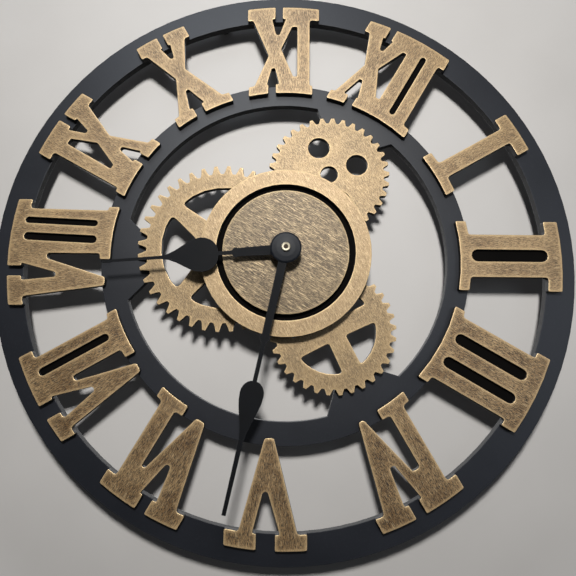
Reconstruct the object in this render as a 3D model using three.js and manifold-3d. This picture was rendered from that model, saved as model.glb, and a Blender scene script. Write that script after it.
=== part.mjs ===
// A large skeleton wall clock cut from painted board: two black rings tied by twelve raised Roman numerals,
// three fixed ornamental gears behind a gold centre, black spade hands and a small battery movement.
//
// Every piece is drawn in the dial's own frame: x to the right, y up to twelve o'clock and z towards the
// viewer, with the hand axis at x = y = 0 and the front of the rings at z = 0. Lengths are in millimetres.

import * as THREE from 'three';
import { mergeVertices } from 'three/addons/utils/BufferGeometryUtils.js';
import Module from 'manifold-3d';

// Rings
const dialRadius = 200;
const outerRingWidth = 19.5;
const innerRingRadius = 127.4;
const innerRingWidth = 15.4;
const ringThickness = 5;
const wallGap = 12;

// Numerals, each lapping over both rings
const numeralThickness = 4;
const outerLap = 9;
const innerLap = 7.4;
const serifCorner = 0.9;
const letterFillet = 2.2;

// Ornamental gears, fixed on lands that reach in from the inner ring
const gearThickness = 4;
const landLap = 12;
const gearPartingGap = 1;
const toothTipWidth = 2.2;
const plainRimLap = 6;
const spokeCount = 4;
const topHoleCount = 4;

// Centre: a black backing disc that carries a gold trim ring and a gold centre disc
const backingRadius = 57.5;
const trimWidth = 10.65;
const grooveWidth = 4.35;
const discThickness = 4;

// Hands
const handThickness = 1;
const handClearance = 1;
const handSpacing = 2.5;
const hourHandAngle = 235.4;
const minuteHandAngle = 162.2;
const capRadius = 10.3;
const capHeight = 1.5;
const openNutRadius = 3;
const openNutThickness = 1.4;
const nutChamfer = 0.4;

// Battery movement
const caseWidth = 56;
const caseDepth = 16;
const caseWall = 1.2;
const caseCorner = 4;
const coverThickness = 1.5;
const coverLedge = 0.8;
const bayClearance = 1;
const sealThickness = 0.5;
const sealRadius = 12;
const postRadius = 4;
const postStandout = 1;
const postFlangeRadius = 6;
const postFlangeThickness = 1;
const nutAcrossFlats = 12;
const nutThickness = 2.5;
const washerRadius = 8;
const washerThickness = 0.5;
const hangerWidth = 18;
const hangerThickness = 2;
const hangerHoleRadius = 4;
const hangDrop = 36;

// Motion works: the minute arbor turns the hour wheel through the minute wheel, twelve to one
const gearModule = 0.5;
const arborPinionTeeth = 10;
const minuteWheelTeeth = 30;
const minutePinionTeeth = 8;
const hourWheelTeeth = 32;
const wheelThickness = 1.2;
const wheelGap = 1.3;
const arborRadius = 1.5;
const hourTubeRadius = 2.5;
const secondsArborRadius = 0.7;
const studRadius = 0.8;
const arborTail = 4.5;
const secondsArborTail = 2;
const secondsArborStandout = 0.4;
const blockDepth = 6.4;
const blockCorner = 1.5;
const blockTopRoom = 6;
const knobRadius = 7;
const knobThickness = 2.2;
const knobShaftRadius = 1.2;
const knobFlutes = 20;
const knobFluteDepth = 0.6;
const knobRoom = 1;
const toothAddendum = 0.35;
const toothDedendum = 0.55;
const toothTip = 0.35;
const toothRootWidth = 0.75;

// Circuit board on two moulded posts
const boardThickness = 1;
const boardLevel = -5;
const boardPostRadius = 1.2;
const boardPostInset = 3;
const boardCorner = 1;

// Battery and its bay
const batteryRadius = 7.25;
const batteryLength = 49;
const batteryNubRadius = 2.75;
const batteryNubLength = 1.2;
const contactThickness = 0.4;
const contactInset = 1.5;
const springBow = 1.4;

// Hands: half widths across and lengths out from the hand axis. The curve gives the pull points of the
// spade's outline, as shares of its half width, of the needle's half width and of the length between them.
const hourHandForm = {
  eye: 8.5, armStart: 3.25, armEnd: 2.75, bead: 4.4, beadStart: 31.5, beadEnd: 35.5, neck: 1.25,
  spadeStart: 44.5, spadeHalf: 11.5, spadeWidest: 55.5,
  needleStart: 82, needleHalf: 1, tip: 120, tipHalf: 0.45,
};
const minuteHandForm = {
  eye: 9, armStart: 2.75, armEnd: 2.35, bead: 4.6, beadStart: 57.5, beadEnd: 63, neck: 1.35,
  spadeStart: 87.5, spadeHalf: 7.5, spadeWidest: 95.5,
  needleStart: 124, needleHalf: 1.5, tip: 167.6, tipHalf: 0.7,
};

const spadeCurve = { shoulderOut: 0.55, sideDrop: 0.6, flankRise: 0.35, waistOut: 1.6, waistRise: 0.6 };

// Hand cap: steps of its rounded edge as [share of the radius, share of the height]
const capProfile = [[1, 0], [1, 0.3], [0.9, 0.62], [0.6, 0.88]];

// Pads that stand the rings off the wall
const padRadius = 5;
const padInset = 1;
const padAngles = [45, 135, 225, 315];

// Turns in degrees
const fullTurn = 360;
const halfTurn = 180;
const quarterTurn = 90;
const hourStep = fullTurn / 12;

// Clearances
const slipFit = 0.05;
const turningFit = 0.1;
const looseFit = 0.3;
const joinOverlap = 0.5;
const cutAllowance = 1;
const pinionOverhang = 0.2;

// Smoothness of round edges
const ringSteps = 96;
const discSteps = 52;
const shaftSteps = 20;
const curveSteps = 6;
const slotSteps = 6;
const archSteps = 12;
const fineCorner = 1.5;

// Ornamental gears: the centre is measured from the hand axis, angles run clockwise from twelve o'clock, and
// firstTooth is the direction of one tooth.
const leftGear = {
  centre: [-39.5, -17.6], tipRadius: 58.5, rootRadius: 52.4, teeth: 40, firstTooth: 179.1, gapRadius: 2,
};
const topGear = {
  centre: [-2.9, 64.9], tipRadius: 42.6, rootRadius: 38.5, teeth: 34, firstTooth: 5.6, gapRadius: 1.8,
};
const rightGear = {
  centre: [53.9, -29.3], tipRadius: 42.4, rootRadius: 38.4, teeth: 33, firstTooth: 111, gapRadius: 1.8,
};
const leftSpokes = {
  first: 8.5, rim: 42.4, hub: 19, halfAtRim: 5.1, halfAtHub: 7.6, rimCorner: 3, hubCorner: 6,
};
const rightSpokes = {
  first: 34, rim: 28.7, hub: 9.6, halfAtRim: 6.8, halfAtHub: 6.8, rimCorner: 2.5, hubCorner: 2.5,
};
const topCentreHole = 6.2;
const topHoles = { first: 39.9, circle: 21, radius: 7.7 };

// Lands: where each starts and ends at the inner ring, and half its width at the gear
const topLand = { start: -18.6, end: 12.2, edgeHalf: 17.3 };
const rightLand = { start: 107, end: 135.3, edgeHalf: 10.6 };
const leftLand = { start: 223.2, end: 252.7, edgeHalf: 10 };


// Numerals are drawn upright at twelve o'clock, on a grid whose y starts at the foot edge and reaches 69.5
// at the head edge, halfway at 154.75 from the hand axis. Heights are scaled to the space between the rings
// and widths to the way round the dial. A head or a foot is [serif start, leg start, leg end, serif end],
// and an apex is a foot of [start, end, height]. A notch is the blunt end [start, end, height] of the gap
// between two heads or two feet. A waist is the pinch [x, height] at one side. A slot is
// [start, end, low, high, lean], and a window is a closed gap inside the letters.
const drawnHeight = 69.5;
const drawnMiddle = 154.75;
const headRoot = 60;
const footRoot = 7;
const numerals = [
  {
    heads: [[-12, -4.2, 7.6, 18.5]],
    feet: [[-13.5, -4.2, 7.6, 18.5]],
  },
  {
    heads: [[-24.5, -15, 14.8, 24.5]],
    feet: [[-24.5, -15, 14.8, 24]],
    slots: [[-4.5, 4, 7.5, 60, 0]],
  },
  {
    heads: [[-27, -23, 22.5, 27]],
    feet: [[-27, -23, 22.5, 27]],
    slots: [[-12.5, -5, 6.5, 58.8, 0], [5, 12.3, 6.5, 58.8, 0]],
  },
  {
    heads: [[-23.5, -16.5, 3, 5], [12.5, 15.5, 29.3, 35.3]],
    headNotches: [[7.8, 11.2, 34.5]],
    feet: [[-21.5, -16.5, -6, -0.3], [10.6, 14.2, 0.8]],
    footNotches: [[-6, -0.6, 43.8]],
  },
  {
    heads: [[-15, -9, 2, 5], [17, 19.5, 28, 37]],
    headNotches: [[10, 13, 34.5]],
    feet: [[6.5, 12.5, 1.8]],
  },
  {
    heads: [[-31, -25, -11.5, -8.5], [-1.5, 0.5, 19.5, 26]],
    headNotches: [[-7.6, -4.4, 37]],
    feet: [[-12.2, -5.9, 3.5], [3, 8.7, 19.5, 24]],
    footNotches: [[6.2, 8.7, 46]],
  },
  {
    heads: [[-37, -32, -24.5, -20], [-10, -8, 19.5, 25]],
    headNotches: [[-18.6, -15.4, 33.5]],
    feet: [[-22, -16, 2], [-9, -3, 19.5, 23]],
    footNotches: [[-6.6, -3, 42]],
    slots: [[6.5, 11.7, 10, 60.5, 0]],
  },
  {
    heads: [[-37, -31, -20, -17], [-10, -8, 30.5, 37]],
    headNotches: [[-17.6, -14.4, 36]],
    feet: [[-23.3, -17.5, 2.5], [-5, -1, 29.5, 32]],
    footNotches: [[-4.8, -1, 43]],
    slots: [[7, 12.5, 10, 60, 2], [19, 23.5, 10, 60, 2]],
  },
  {
    heads: [[-26, -20, -1, 2], [7.5, 9.5, 22, 27.5]],
    headNotches: [[3.3, 5.7, 47.5]],
    rightWaist: [10.5, 32],
    feet: [[-22, -19, 2.5, 4.5], [10.5, 12, 20, 24]],
    footNotches: [[5.2, 7.8, 20]],
    windows: [[[-10, 54.5], [-10, 17.5], [-6.5, 17.5], [1.5, 36.5], [-5.5, 54.5]]],
  },
  {
    heads: [[-20, -16, -4.5, -3], [2, 3.5, 15, 19]],
    headNotches: [[-1.5, 0.9, 49]],
    rightWaist: [4, 37],
    feet: [[-21, -17, -8, -5.5], [1.5, 4, 18, 23]],
    footNotches: [[-3.7, -1.3, 21.5]],
    leftWaist: [-5.5, 33],
  },
  {
    heads: [[-30, -26, -12, -9.5], [-4, -1.5, 16, 23]],
    headNotches: [[-8.7, -6.3, 46.5]],
    feet: [[-28, -24, -15, -14], [-8.5, -6, 16, 18]],
    footNotches: [[-11.7, -9.3, 19.5]],
    leftWaist: [-14, 29.5],
    windows: [[[7, 53.5], [7, 13], [4, 13], [-5, 35], [3, 53.5]]],
  },
  {
    heads: [[-36, -32, -21.5, -20], [-15, -13.5, 24.5, 29.5]],
    headNotches: [[-18.9, -16.3, 48.5]],
    feet: [[-34, -31, -25, -21], [-15, -14, 24.5, 29.5]],
    footNotches: [[-20.2, -17.8, 20.5]],
    leftWaist: [-22.5, 32],
    slots: [[10.5, 14.8, 7.5, 59.5, 0]],
    windows: [[[0, 55.5], [0, 13.5], [-3, 13.5], [-12.5, 34.5], [-3, 55.5]]],
  },
];

// Levels along z, worked out from the stack of plates
const numeralFront = numeralThickness;
const gearFront = gearThickness;
const backingFront = gearFront + discThickness;
const dialFront = backingFront + discThickness;
const nutFront = dialFront + washerThickness + nutThickness;
const postFront = nutFront + postStandout;
const hourHandBack = postFront + handClearance;
const hourHandFront = hourHandBack + handThickness;
const minuteHandBack = hourHandFront + handSpacing;
const minuteHandFront = minuteHandBack + handThickness;
const openNutBack = minuteHandFront + capHeight;
const arborFront = openNutBack + openNutThickness / 2;
const caseFront = gearFront - sealThickness;
const caseBack = caseFront - caseDepth;
const caseFloor = caseFront - caseWall;
const coverFront = caseBack + coverThickness;
const flangeBack = caseFloor - postFlangeThickness;
const hourWheelFront = flangeBack - looseFit;
const hourWheelBack = hourWheelFront - wheelThickness;
const minuteWheelFront = hourWheelBack - wheelGap;
const minuteWheelBack = minuteWheelFront - wheelThickness;
const pinionBack = minuteWheelBack - pinionOverhang;
const pinionFront = minuteWheelFront + pinionOverhang;
const arborBack = minuteWheelBack - arborTail;
const secondsArborBack = arborBack - secondsArborTail;
const secondsArborFront = arborFront + secondsArborStandout;
const blockBack = coverFront + looseFit;
const blockFront = blockBack + blockDepth;

// Places in the movement
const wheelDistance = gearModule * (arborPinionTeeth + minuteWheelTeeth) / 2;
const minuteWheelCentre = [0, wheelDistance];
const knobCentre = [-wheelDistance, wheelDistance];
const caseHalf = caseWidth / 2;
const caseInside = caseHalf - caseWall;
const plusContactFace = caseInside - looseFit - contactThickness;
const batteryX = plusContactFace - looseFit - batteryNubLength - batteryLength / 2;
const batteryCentre = [batteryX, -caseInside + looseFit + batteryRadius];
const batteryDepth = caseFloor - looseFit - batteryRadius;
const partitionY = batteryCentre[1] + batteryRadius + looseFit;
const worksLow = partitionY + caseWall;
const boardPostX = -caseInside + boardPostInset;
const boardPosts = [[boardPostX, worksLow + boardPostInset], [boardPostX, caseInside - boardPostInset]];

// Finishes
const finish = (color, roughness, metalness) =>
  new THREE.MeshStandardMaterial({ color, roughness, metalness });
const charcoal = () => finish(0x24272c, 0.55, 0.1);
const gold = () => finish(0xa98a54, 0.45, 0.55);
const handBlack = () => finish(0x17181b, 0.4, 0.5);
const brass = () => finish(0xb9924c, 0.3, 1);
const steel = () => finish(0x9a9c9e, 0.3, 1);
const rubber = () => finish(0x1c1c1d, 0.85, 0);
const caseBlack = () => finish(0x202124, 0.6, 0);
const acetal = () => finish(0xd9d7cd, 0.5, 0);

const wasm = await Module();
wasm.setup();

// Turns a closed three.js geometry into a solid that can be joined and cut.
function solidOf(geometry) {
  const bare = geometry.clone();
  bare.deleteAttribute('normal');
  bare.deleteAttribute('uv');
  const merged = mergeVertices(bare);
  const mesh = new wasm.Mesh({
    numProp: 3,
    vertProperties: new Float32Array(merged.attributes.position.array),
    triVerts: new Uint32Array(merged.index.array),
  });
  return new wasm.Manifold(mesh);
}

function geometryOf(solid) {
  const mesh = solid.getMesh();
  const geometry = new THREE.BufferGeometry();
  geometry.setAttribute('position', new THREE.BufferAttribute(mesh.vertProperties, 3));
  geometry.setIndex(new THREE.BufferAttribute(mesh.triVerts, 1));
  geometry.computeVertexNormals();
  return geometry;
}

const join = (first, ...others) =>
  geometryOf(others.reduce((all, next) => all.add(solidOf(next)), solidOf(first)));

const cut = (body, ...tools) =>
  geometryOf(tools.reduce((rest, tool) => rest.subtract(solidOf(tool)), solidOf(body)));

const radians = (degrees) => degrees * Math.PI / 180;

// A point on the dial: the angle runs clockwise from twelve o'clock.
const clockPoint = (radius, degrees) =>
  [radius * Math.sin(radians(degrees)), radius * Math.cos(radians(degrees))];

// Points of a clockwise arc, both ends included.
function arcPoints(radius, start, end, steps, [x, y] = [0, 0]) {
  const points = [];
  for (let step = 0; step <= steps; step += 1) {
    const [dx, dy] = clockPoint(radius, start + (end - start) * step / steps);
    points.push([x + dx, y + dy]);
  }
  return points;
}

const circlePoints = (radius, steps, centre) => arcPoints(radius, 0, fullTurn, steps, centre).slice(1);

const vectors = (points) => points.map(([x, y]) => new THREE.Vector2(x, y));

// The outline of a shape with holes has to run counterclockwise.
function shapeOf(outline, holes = []) {
  const points = vectors(outline);
  const shape = new THREE.Shape(THREE.ShapeUtils.isClockWise(points) ? points.reverse() : points);
  shape.holes = holes.map((hole) => new THREE.Path(vectors(hole)));
  return shape;
}

// A flat plate between two levels.
function plate(outline, back, front, holes) {
  const options = { depth: front - back, bevelEnabled: false };
  return new THREE.ExtrudeGeometry(shapeOf(outline, holes), options).translate(0, 0, back);
}

const disc = (radius, back, front, steps, centre) => plate(circlePoints(radius, steps, centre), back, front);

function washer(bore, radius, back, front, steps = shaftSteps, centre = [0, 0]) {
  return plate(circlePoints(radius, steps, centre), back, front, [circlePoints(bore, steps, centre)]);
}

function rectangle(left, right, bottom, top, radius = 0) {
  const corners = [[left, bottom], [left, top], [right, top], [right, bottom]];
  return rounded(corners.map((corner) => [...corner, radius]));
}

// Rounds the corners of an outline. A corner is [x, y, radius], and short sides get a shorter round.
function rounded(corners) {
  const points = [];
  corners.forEach(([x, y, radius], index) => {
    const corner = new THREE.Vector2(x, y);
    const [beforeX, beforeY] = corners.at(index - 1);
    const [afterX, afterY] = corners[(index + 1) % corners.length];
    const back = new THREE.Vector2(beforeX, beforeY).sub(corner);
    const ahead = new THREE.Vector2(afterX, afterY).sub(corner);
    if (!radius) {
      points.push([x, y]);
      return;
    }
    const half = back.angleTo(ahead) / 2;
    const reach = Math.min(radius / Math.tan(half), back.length() * 0.49, ahead.length() * 0.49);
    const start = corner.clone().add(back.setLength(reach));
    const end = corner.clone().add(ahead.setLength(reach));
    const curve = new THREE.QuadraticBezierCurve(start, corner, end);
    const steps = radius > fineCorner ? 3 : 2;
    curve.getPoints(steps).forEach((point) => points.push([point.x, point.y]));
  });
  return points;
}

const outerRingInside = dialRadius - outerRingWidth;
const numeralOutside = outerRingInside + outerLap;
const numeralInside = innerRingRadius - innerLap;
const heightStep = (numeralOutside - numeralInside) / drawnHeight;
const widthStep = (numeralOutside + numeralInside) / 2 / drawnMiddle;
const upright = (height) => numeralInside + height * heightStep;
const across = (...places) => places.map((place) => place * widthStep);
const onArc = (radius, x) => Math.sqrt(radius ** 2 - x ** 2);

// The serif edge of a head or a foot, which follows the rim of the letter band.
function rimCorners(start, end, radius) {
  const steps = 4;
  const corners = [];
  for (let step = 0; step <= steps; step += 1) {
    const x = start + (end - start) * step / steps;
    corners.push([x, onArc(radius, x), step % steps ? 0 : serifCorner]);
  }
  return corners;
}

function notchCorners([start, end, height]) {
  return across(start, end).map((x) => [x, upright(height), letterFillet]);
}

function headCorners(head) {
  const [serifStart, legStart, legEnd, serifEnd] = across(...head);
  const root = upright(headRoot);
  return [
    [legStart, onArc(root, legStart), letterFillet], [serifStart, onArc(root, serifStart), serifCorner],
    ...rimCorners(serifStart, serifEnd, numeralOutside),
    [serifEnd, onArc(root, serifEnd), serifCorner], [legEnd, onArc(root, legEnd), letterFillet],
  ];
}

function footCorners(foot) {
  if (foot.length === 3) {
    return notchCorners(foot).reverse();
  }
  const [serifStart, legStart, legEnd, serifEnd] = across(...foot);
  const root = upright(footRoot);
  return [
    [legEnd, onArc(root, legEnd), letterFillet], [serifEnd, onArc(root, serifEnd), serifCorner],
    ...rimCorners(serifEnd, serifStart, numeralInside),
    [serifStart, onArc(root, serifStart), serifCorner], [legStart, onArc(root, legStart), letterFillet],
  ];
}

function waistCorners(waist) {
  return waist ? [[waist[0] * widthStep, upright(waist[1]), letterFillet]] : [];
}

function slotOutline([drawnStart, drawnEnd, low, high, drawnLean]) {
  const [start, end, lean] = across(drawnStart, drawnEnd, drawnLean);
  const radius = (end - start) / 2;
  const [floorY, roofY] = [upright(low) + radius, upright(high) - radius];
  const middle = start + radius;
  const roof = arcPoints(radius, -quarterTurn, quarterTurn, slotSteps, [middle + lean / 2, roofY]);
  const floor = arcPoints(radius, quarterTurn, 3 * quarterTurn, slotSteps, [middle - lean / 2, floorY]);
  return [...roof, ...floor];
}

// Walks the heads from left to right along the outer edge, then the feet back from right to left.
function numeralPlate(numeral) {
  const { heads, headNotches = [], feet, footNotches = [], leftWaist, rightWaist } = numeral;
  const { slots = [], windows = [] } = numeral;
  const corners = heads.flatMap((head, index) => [
    ...headCorners(head), ...(headNotches[index] ? notchCorners(headNotches[index]) : []),
  ]);
  corners.push(...waistCorners(rightWaist));
  feet.toReversed().forEach((foot, index) => {
    const notch = footNotches[feet.length - 2 - index];
    corners.push(...footCorners(foot), ...(notch ? notchCorners(notch).reverse() : []));
  });
  corners.push(...waistCorners(leftWaist));
  const windowCorners = (window) => window.map(([x, y]) => [x * widthStep, upright(y), letterFillet / 2]);
  const windowOutlines = windows.map((window) => rounded(windowCorners(window)));
  return plate(rounded(corners), 0, numeralFront, [...slots.map(slotOutline), ...windowOutlines]);
}

// The angle that a width takes up at a radius.
const degreesAcross = (width, radius) => width / radius * 180 / Math.PI;

// Tapered teeth with round gaps between them. The rim is plain where the centre would hide its teeth.
function toothedOutline({ centre, tipRadius, rootRadius, teeth, firstTooth, gapRadius }) {
  const pitch = fullTurn / teeth;
  const gapSteps = 3;
  const tipHalf = degreesAcross(toothTipWidth, tipRadius) / 2;
  const shows = (direction) => {
    const [x, y] = clockPoint(tipRadius, direction);
    return Math.hypot(centre[0] + x, centre[1] + y) > backingRadius - plainRimLap;
  };
  const points = [];
  for (let tooth = 0; tooth < teeth; tooth += 1) {
    const direction = firstTooth + tooth * pitch;
    const gap = direction + pitch / 2;
    if (shows(direction)) {
      points.push(clockPoint(tipRadius, direction - tipHalf), clockPoint(tipRadius, direction + tipHalf));
    } else {
      points.push(clockPoint(rootRadius, direction));
    }
    if (shows(direction) || shows(direction + pitch)) {
      const gapCentre = clockPoint(rootRadius + gapRadius, gap);
      const inward = gap + halfTurn;
      points.push(...arcPoints(gapRadius, inward + quarterTurn, inward - quarterTurn, gapSteps, gapCentre));
    }
  }
  return points;
}

// The four openings between the spokes of a gear.
function spokeWindows({ first, rim, hub, halfAtRim, halfAtHub, rimCorner, hubCorner }) {
  const halfShare = halfTurn / spokeCount;
  const rimTurn = halfShare - degreesAcross(halfAtRim, rim);
  const hubTurn = halfShare - degreesAcross(halfAtHub, hub);
  return Array.from({ length: spokeCount }, (_, spoke) => {
    const middle = first + halfShare * (2 * spoke + 1);
    const rimArc = arcPoints(rim, middle - rimTurn, middle + rimTurn, 6).map((point) => [...point, 0]);
    const hubArc = arcPoints(hub, middle + hubTurn, middle - hubTurn, 2).map((point) => [...point, 0]);
    [rimArc[0][2], rimArc.at(-1)[2]] = [rimCorner, rimCorner];
    if (hubTurn < 1) {
      return rounded([...rimArc, [...clockPoint(hub, middle), hubCorner]]);
    }
    [hubArc[0][2], hubArc.at(-1)[2]] = [hubCorner, hubCorner];
    return rounded([...rimArc, ...hubArc]);
  });
}

// The hole of the inner ring, with a tapered land for each gear reaching in from its edge.
function landedHole() {
  const inside = innerRingRadius - innerRingWidth;
  const lands = [[topLand, topGear], [rightLand, rightGear], [leftLand, leftGear]];
  const arcSteps = 26;
  return lands.flatMap(([{ start, end, edgeHalf }, { centre, tipRadius }], index) => {
    const middle = (start + end) / 2;
    const landEdge = Math.hypot(...centre) + tipRadius - landLap;
    const place = (aside, out) => {
      const [x, y] = clockPoint(out, middle);
      const [asideX, asideY] = clockPoint(aside, middle + quarterTurn);
      return [x + asideX, y + asideY];
    };
    const isLast = index === lands.length - 1;
    const nextStart = isLast ? topLand.start + fullTurn : lands[index + 1][0].start;
    const openArc = arcPoints(inside, end, nextStart, arcSteps);
    return [place(-edgeHalf, landEdge), place(edgeHalf, landEdge), ...openArc];
  });
}

// A gear is drawn about its own centre. All stop short of the movement, and the small ones of the large one.
function ornamentalGear(gear, openings) {
  const [x, y] = gear.centre;
  const [behind, ahead] = [-cutAllowance, gearFront + cutAllowance];
  const blank = plate(toothedOutline(gear), 0, gearFront, openings);
  const bay = disc(Math.hypot(caseHalf, caseHalf) + bayClearance, behind, ahead, discSteps, [-x, -y]);
  if (gear === leftGear) {
    return cut(blank, bay);
  }
  const toLeftGear = [leftGear.centre[0] - x, leftGear.centre[1] - y];
  return cut(blank, bay, disc(leftGear.tipRadius + gearPartingGap, behind, ahead, discSteps, toLeftGear));
}

function topGearOpenings() {
  const holes = Array.from({ length: topHoleCount }, (_, index) => {
    const centre = clockPoint(topHoles.circle, topHoles.first + fullTurn / topHoleCount * index);
    return circlePoints(topHoles.radius, shaftSteps, centre);
  });
  return [circlePoints(topCentreHole, shaftSteps), ...holes];
}

// Small clock teeth: thin and tapered, so that they run free at any position.
function wheelOutline(teeth, firstTooth) {
  const pitchRadius = gearModule * teeth / 2;
  const tip = pitchRadius + toothAddendum;
  const root = pitchRadius - toothDedendum;
  const rootHalf = degreesAcross(toothRootWidth, root) / 2;
  const tipHalf = degreesAcross(toothTip, tip) / 2;
  const points = [];
  for (let tooth = 0; tooth < teeth; tooth += 1) {
    const direction = firstTooth + tooth * fullTurn / teeth;
    points.push(clockPoint(root, direction - rootHalf), clockPoint(tip, direction - tipHalf));
    points.push(clockPoint(tip, direction + tipHalf), clockPoint(root, direction + rootHalf));
  }
  return points;
}

const boredWheel = (teeth, firstTooth, bore, back, front) =>
  plate(wheelOutline(teeth, firstTooth), back, front, [circlePoints(bore, shaftSteps)]);

// A turned piece: the profile is [radius, level], run counterclockwise and closed on itself.
function turned(profile, steps = shaftSteps) {
  return new THREE.LatheGeometry(vectors([...profile, profile[0]]), steps).rotateX(Math.PI / 2);
}

// One hand with a spade and a needle point, drawn pointing to twelve o'clock.
function handPlate(form, bore, back) {
  const path = new THREE.Path();
  const { eye, armStart, armEnd, bead, beadStart, beadEnd, neck, spadeStart, spadeHalf, spadeWidest } = form;
  const { needleStart, needleHalf, tip, tipHalf } = form;
  path.absarc(0, 0, eye, -Math.PI / 2, Math.acos(armStart / eye), false);
  path.lineTo(armEnd, beadStart);
  path.quadraticCurveTo(bead, (beadStart + beadEnd) / 2, neck, beadEnd);
  path.lineTo(neck, spadeStart);
  const { shoulderOut, sideDrop, flankRise, waistOut, waistRise } = spadeCurve;
  const shoulder = [spadeHalf * shoulderOut, spadeStart];
  const side = [spadeHalf, spadeWidest - spadeHalf * sideDrop];
  path.bezierCurveTo(...shoulder, ...side, spadeHalf, spadeWidest);
  const taper = needleStart - spadeWidest;
  const flank = [spadeHalf, spadeWidest + taper * flankRise];
  const waist = [needleHalf * waistOut, spadeWidest + taper * waistRise];
  path.bezierCurveTo(...flank, ...waist, needleHalf, needleStart);
  path.lineTo(tipHalf, tip);
  const right = path.getPoints(curveSteps).map((point) => [point.x, point.y]);
  const left = right.slice(1).reverse().map(([x, y]) => [-x, y]);
  return plate([...right, ...left], back, back + handThickness, [circlePoints(bore, shaftSteps)]);
}

const dial = new THREE.Group();
dial.rotation.x = Math.PI / 2;
dial.position.set(0, -(ringThickness + wallGap), -hangDrop);

function add(name, geometry, material, turn = 0, [x, y] = [0, 0], parent = dial) {
  const mesh = new THREE.Mesh(geometry, material);
  mesh.name = name;
  mesh.position.set(x, y, 0);
  mesh.rotation.z = -radians(turn);
  parent.add(mesh);
}

function addRings() {
  add('outer_ring', washer(outerRingInside, dialRadius, -ringThickness, 0, ringSteps), charcoal());
  const innerRing = plate(circlePoints(innerRingRadius, ringSteps), -ringThickness, 0, [landedHole()]);
  add('inner_ring', innerRing, charcoal());
  numerals.forEach((numeral, index) => {
    const hour = index + 1;
    add(`numeral_${hour}`, numeralPlate(numeral), gold(), hour * hourStep);
  });
}

function addGears() {
  add('left_gear', ornamentalGear(leftGear, spokeWindows(leftSpokes)), gold(), 0, leftGear.centre);
  add('top_gear', ornamentalGear(topGear, topGearOpenings()), gold(), 0, topGear.centre);
  add('right_gear', ornamentalGear(rightGear, spokeWindows(rightSpokes)), gold(), 0, rightGear.centre);
}

function addCentre() {
  const trimInside = backingRadius - trimWidth;
  const bore = postRadius + slipFit;
  add('backing_disc', washer(bore, backingRadius, gearFront, backingFront, discSteps), charcoal());
  add('trim_ring', washer(trimInside, backingRadius, backingFront, dialFront, discSteps), gold());
  add('centre_disc', washer(bore, trimInside - grooveWidth, backingFront, dialFront, discSteps), gold());
  add('post_washer', washer(bore, washerRadius, dialFront, dialFront + washerThickness), steel());
  const nutCorner = nutAcrossFlats / 2 / Math.cos(Math.PI / 6);
  const nutOutline = circlePoints(nutCorner, 6);
  const nut = plate(nutOutline, dialFront + washerThickness, nutFront, [circlePoints(bore, shaftSteps)]);
  add('post_nut', nut, brass());
}

function threadedPost() {
  const bore = hourTubeRadius + turningFit;
  const flange = washer((bore + postRadius) / 2, postFlangeRadius, flangeBack, caseFloor);
  return join(washer(bore, postRadius, flangeBack, postFront), flange);
}

// The moulded case is open at the back, with a wall between the works and the battery, and a hanging loop.
function movementCase() {
  const behind = caseBack - cutAllowance;
  const body = plate(rectangle(-caseHalf, caseHalf, -caseHalf, caseHalf, caseCorner), caseBack, caseFront);
  const works = plate(rectangle(-caseInside, caseInside, worksLow, caseInside), behind, caseFloor);
  const ledge = caseInside + coverLedge;
  const recessOutline = rectangle(-ledge, ledge, worksLow - coverLedge, ledge, caseCorner / 2);
  const recess = plate(recessOutline, behind, coverFront);
  const bay = plate(rectangle(-caseInside, caseInside, -caseInside, partitionY), behind, caseFloor);
  const postHole = disc(postRadius + slipFit, behind, caseFront + cutAllowance, shaftSteps);
  const loopRadius = hangerWidth / 2;
  const loopFoot = caseHalf - joinOverlap;
  const loopArch = arcPoints(loopRadius, -quarterTurn, quarterTurn, archSteps, [0, hangDrop]);
  const loopOutline = [[-loopRadius, loopFoot], ...loopArch, [loopRadius, loopFoot]];
  const loopHole = circlePoints(hangerHoleRadius, shaftSteps, [0, hangDrop]);
  const loop = plate(loopOutline, caseBack, caseBack + hangerThickness, [loopHole]);
  const footing = caseFloor + joinOverlap;
  const stud = disc(studRadius, minuteWheelBack - looseFit, footing, shaftSteps, minuteWheelCentre);
  const posts = boardPosts.map((centre) => disc(boardPostRadius, boardLevel, footing, archSteps, centre));
  return join(cut(body, works, recess, bay, postHole), loop, stud, ...posts);
}

function movementCover() {
  const edge = caseInside + coverLedge - looseFit / 2;
  const low = worksLow - coverLedge + looseFit / 2;
  const shaftHole = circlePoints(knobShaftRadius + turningFit, shaftSteps, knobCentre);
  return plate(rectangle(-edge, edge, low, edge, caseCorner / 2), caseBack, coverFront, [shaftHole]);
}

// The closed drive unit: coil, rotor and reduction gears in one sealed housing, bored for the two arbors.
function driveBlock() {
  const left = knobCentre[0] + knobShaftRadius + knobRoom;
  const right = caseInside - looseFit;
  const outline = rectangle(left, right, worksLow + looseFit, caseInside - blockTopRoom, blockCorner);
  const front = blockFront + cutAllowance;
  const arborBore = disc(arborRadius + slipFit, arborBack - looseFit, front, shaftSteps);
  const secondsBore = disc(secondsArborRadius + slipFit, secondsArborBack - looseFit, front, shaftSteps);
  return cut(plate(outline, blockBack, blockFront), arborBore, secondsBore);
}

function circuitBoard() {
  const right = knobCentre[0] - knobShaftRadius - knobRoom;
  const edge = caseInside - looseFit;
  const outline = rectangle(-edge, right, worksLow + looseFit, edge, boardCorner);
  return plate(outline, boardLevel - boardThickness, boardLevel);
}

// A thin strip bent into a bow, for the spring contact.
function bowedStrip(left, bow, low, high, thickness) {
  const steps = 8;
  const face = (offset) => Array.from({ length: steps + 1 }, (_, step) => {
    const share = step / steps;
    return [left + offset + bow * Math.sin(Math.PI * share), low + (high - low) * share];
  });
  return [...face(0), ...face(thickness).reverse()];
}

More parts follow.
